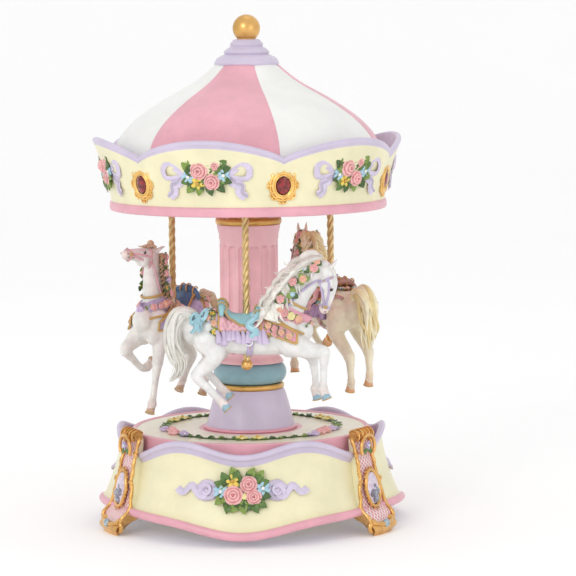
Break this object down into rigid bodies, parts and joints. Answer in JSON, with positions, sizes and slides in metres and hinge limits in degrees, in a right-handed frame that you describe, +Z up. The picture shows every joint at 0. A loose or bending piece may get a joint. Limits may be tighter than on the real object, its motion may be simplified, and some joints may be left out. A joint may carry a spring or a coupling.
{
  "type": "carousel music box",
  "caption": "Carousel music box: prancing horses on twisted poles rise and fall as the tented canopy turns above a footed base holding a wind-up movement.",
  "frame": {"origin": "on the axis of the column, at the height of the feet", "axes": "+Z up along the column and drive shaft; -Y is the front; +X is the way the front horse travels"},
  "size_m": [0.1894, 0.1953, 0.3101],
  "materials": {
    "cream_resin": "painted cast resin, satin",
    "deck_resin": "painted cast resin, satin, pink sides and cream top",
    "garland": "painted resin leaves and flowers",
    "gold_paint": "antique gold paint on cast resin",
    "stones": "faceted lilac and grey rhinestones",
    "bouquet": "painted resin roses, leaves and lilac bows",
    "cover": "moulded cover",
    "steel": "bright steel",
    "lilac_resin": "painted cast resin, satin lilac",
    "pink_resin": "painted cast resin, satin pink",
    "teal_resin": "painted cast resin, satin teal",
    "bright_gold": "metallic gold paint",
    "brass": "machined brass",
    "bronze": "oiled bronze",
    "bedplate": "zinc-plated cast plate",
    "spring_steel": "blued spring steel",
    "valance_resin": "painted cast resin: cream wall, pink band, lilac edge",
    "board": "plain board",
    "roof_resin": "painted cast resin, pink and white gores",
    "ruby": "faceted red stone",
    "twisted_brass": "twisted brass rod",
    "horse_white": "painted cast resin, pearly white with coloured tack",
    "horse_cream": "painted cast resin, palomino with coloured tack"
  },
  "bodies": {
    "base": {"base_shell": "cream_resin", "deck_plate": "deck_resin", "deck_garland": "garland", "corner_feet": "gold_paint", "corner_stones": "stones", "base_bouquets": "bouquet", "bottom_cover": "cover", "cover_screws": "steel", "column_tube": "steel", "column_bell": "lilac_resin", "column_lower_ring": "bright_gold", "column_torus": "teal_resin", "column_shaft": "pink_resin", "column_upper_ring": "bright_gold", "crown_gear": "brass", "upper_bush": "bronze", "lower_bush": "bronze", "bedplate": "bedplate", "cylinder_bearings": "bedplate", "comb": "steel", "comb_screws": "steel", "movement_screws": "steel"},
    "carousel": {"drive_shaft": "steel", "spring_barrel": "brass", "mainspring": "spring_steel", "canopy_floor": "deck_resin", "valance": "valance_resin", "roof_plate": "board", "canopy_posts": "board", "canopy_roof": "roof_resin", "roof_cap": "lilac_resin", "finial_ball": "bright_gold", "medallion_frames": "bright_gold", "medallion_gems": "ruby", "valance_bouquets": "bouquet", "crank_bearings": "bedplate", "hub_nut": "steel"},
    "crank_1": {"crank_shaft_1": "steel", "crank_pinion_1": "brass", "crank_clip_1": "steel"},
    "horse_set_1": {"pole_1": "twisted_brass", "pole_ball_1": "bright_gold", "horse_1": "horse_white"},
    "crank_2": {"crank_shaft_2": "steel", "crank_pinion_2": "brass", "crank_clip_2": "steel"},
    "horse_set_2": {"pole_2": "twisted_brass", "pole_ball_2": "bright_gold", "horse_2": "horse_cream"},
    "crank_3": {"crank_shaft_3": "steel", "crank_pinion_3": "brass", "crank_clip_3": "steel"},
    "horse_set_3": {"pole_3": "twisted_brass", "pole_ball_3": "bright_gold", "horse_3": "horse_white"},
    "cylinder": {"music_cylinder": "brass", "cylinder_gears": "brass"},
    "governor_arbor": {"governor": "brass"},
    "key": {"winding_key": "steel"}
  },
  "joints": [
    {"name": "carousel_spin", "type": "hinge", "parent": "base", "child": "carousel", "pos_m": [0, 0, 0], "axis": [0, 0, 1], "continuous": true},
    {"name": "crank_1_turn", "type": "hinge", "parent": "carousel", "child": "crank_1", "pos_m": [-0.00229, -0.05695, 0.21053], "axis": [-0.0401, -0.9992, 0], "continuous": true},
    {"name": "horse_1_hang", "type": "hinge", "parent": "crank_1", "child": "horse_set_1", "pos_m": [-0.00102, -0.05701, 0.20781], "axis": [-0.0401, -0.9992, 0], "continuous": true},
    {"name": "crank_2_turn", "type": "hinge", "parent": "carousel", "child": "crank_2", "pos_m": [0.05047, 0.0265, 0.21053], "axis": [0.8854, 0.4648, 0], "continuous": true},
    {"name": "horse_2_hang", "type": "hinge", "parent": "crank_2", "child": "horse_set_2", "pos_m": [0.05047, 0.0265, 0.21353], "axis": [0.8854, 0.4648, 0], "continuous": true},
    {"name": "crank_3_turn", "type": "hinge", "parent": "carousel", "child": "crank_3", "pos_m": [-0.04818, 0.03046, 0.21053], "axis": [-0.8453, 0.5344, 0], "continuous": true},
    {"name": "horse_3_hang", "type": "hinge", "parent": "crank_3", "child": "horse_set_3", "pos_m": [-0.04818, 0.03046, 0.20753], "axis": [-0.8453, 0.5344, 0], "continuous": true},
    {"name": "cylinder_turn", "type": "hinge", "parent": "base", "child": "cylinder", "pos_m": [0.04, 0, 0.039], "axis": [1, 0, 0], "continuous": true},
    {"name": "governor_spin", "type": "hinge", "parent": "base", "child": "governor_arbor", "pos_m": [0.0535, 0.014, 0.039], "axis": [1, 0, 0], "continuous": true},
    {"name": "key_turn", "type": "hinge", "parent": "base", "child": "key", "pos_m": [0, 0, 0.006], "axis": [0, 0, -1], "continuous": true}
  ],
  "couplings": [
    {"joint": "crank_1_turn", "follows": "carousel_spin", "ratio": -3},
    {"joint": "horse_1_hang", "follows": "carousel_spin", "ratio": 3},
    {"joint": "crank_2_turn", "follows": "carousel_spin", "ratio": -3},
    {"joint": "horse_2_hang", "follows": "carousel_spin", "ratio": 3},
    {"joint": "crank_3_turn", "follows": "carousel_spin", "ratio": -3},
    {"joint": "horse_3_hang", "follows": "carousel_spin", "ratio": 3},
    {"joint": "cylinder_turn", "follows": "carousel_spin", "ratio": 4},
    {"joint": "governor_spin", "follows": "carousel_spin", "ratio": -12}
  ]
}
